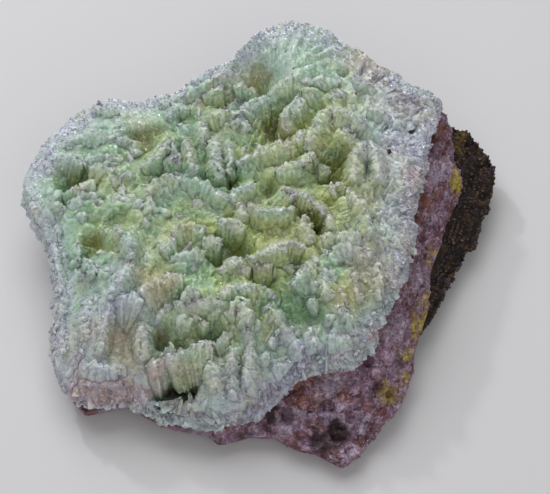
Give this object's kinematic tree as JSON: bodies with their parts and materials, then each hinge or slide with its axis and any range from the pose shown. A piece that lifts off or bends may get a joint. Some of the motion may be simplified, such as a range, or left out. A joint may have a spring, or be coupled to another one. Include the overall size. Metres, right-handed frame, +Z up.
{
  "type": "prehnite specimen",
  "caption": "Mineral hand specimen: pale green crystal crust in curved ridges and deep hollows on a band of mauve altered rock over dark basalt, flat underneath.",
  "frame": {"origin": "middle of the specimen's outline, on the surface it rests on", "axes": "+Z up from the flat underside to the crystals, +X along the longest side towards the bare basalt, +Y to the tall dome at the back"},
  "size_m": [0.1057, 0.0957, 0.0336],
  "materials": {
    "prehnite": "pale green translucent crystal, glassy facets with sugary white crests",
    "altered_rock": "dull granular mauve and red-brown rock with fine white veins",
    "basalt": "rough dark broken rock with mustard stains"
  },
  "bodies": {
    "root": {"prehnite_crust": "prehnite", "altered_zone": "altered_rock", "basalt_matrix": "basalt"}
  },
  "joints": []
}
